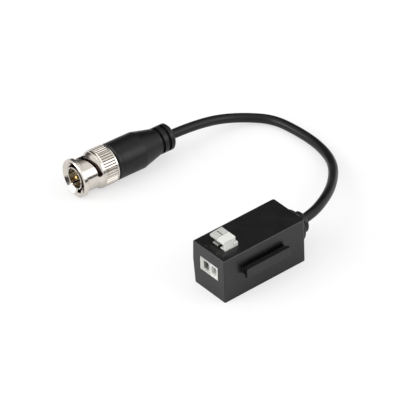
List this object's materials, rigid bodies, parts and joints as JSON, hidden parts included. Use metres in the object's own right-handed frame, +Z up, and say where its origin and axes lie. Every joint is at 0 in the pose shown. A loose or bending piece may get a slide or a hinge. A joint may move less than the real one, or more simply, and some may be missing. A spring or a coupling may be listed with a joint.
{
  "type": "video balun",
  "caption": "Passive video balun: a black box with a lever-press wire terminal and a short coaxial lead to a bayonet plug.",
  "frame": {"origin": "middle of the case's underside", "axes": "+Z up out of the case's top, +Y along the case towards its cable end, +X towards the side with the rail"},
  "size_m": [0.0934, 0.0854, 0.0206],
  "materials": {
    "case_black": "satin",
    "soft_black": "matt moulded",
    "jacket_black": "satin",
    "terminal_grey": "satin",
    "terminal_white": "satin",
    "board_green": "solder mask",
    "ferrite": "matt",
    "copper": "enamelled",
    "solder": "bright",
    "arrester_blue": "gloss",
    "ceramic_tan": "matt",
    "chip_black": "matt",
    "tinned": "tinned",
    "spring_steel": "bright",
    "dielectric_white": "satin",
    "nickel": "nickel plate",
    "seal_red": "matt",
    "insulator_cream": "satin",
    "gold": "gold plate",
    "brass": "turned"
  },
  "bodies": {
    "case": {"housing": "case_black", "base_cover": "case_black", "circuit_board": "board_green", "solder_joints": "solder", "transformer_core": "ferrite", "primary_winding": "copper", "secondary_winding": "copper", "surge_arrester": "arrester_blue", "capacitors": "ceramic_tan", "resistors": "chip_black", "terminal_body_grey": "terminal_grey", "terminal_body_white": "terminal_white", "contact_left": "tinned", "contact_right": "tinned", "spring_left": "spring_steel", "spring_right": "spring_steel", "cable_grommet": "soft_black", "cable": "jacket_black", "coax_core": "dielectric_white", "shield_pigtail": "tinned", "bnc_body": "nickel", "gasket": "seal_red", "bnc_insulator": "insulator_cream", "bnc_centre_pin": "gold", "thrust_washer": "brass", "wave_washer": "spring_steel", "crimp_ferrule": "tinned", "bnc_boot": "soft_black"},
    "lever_grey": {"lever_grey": "terminal_grey"},
    "lever_white": {"lever_white": "terminal_white"},
    "coupling": {"bayonet_coupling": "nickel"}
  },
  "joints": [
    {"name": "lever_grey_press", "type": "slide", "parent": "case", "child": "lever_grey", "axis": [0, 0, -1], "range_m": [0, 0.0007], "stiffness_N_per_m": 500, "springref_m": -0.001, "deforming": ["spring_left"]},
    {"name": "lever_white_press", "type": "slide", "parent": "case", "child": "lever_white", "axis": [0, 0, -1], "range_m": [0, 0.0007], "stiffness_N_per_m": 500, "springref_m": -0.001, "deforming": ["spring_right"]},
    {"name": "coupling_turn", "type": "hinge", "parent": "case", "child": "coupling", "pos_m": [-0.07557, -0.01879, 0.00725], "axis": [-0.0471, -0.9989, 0], "continuous": true}
  ]
}
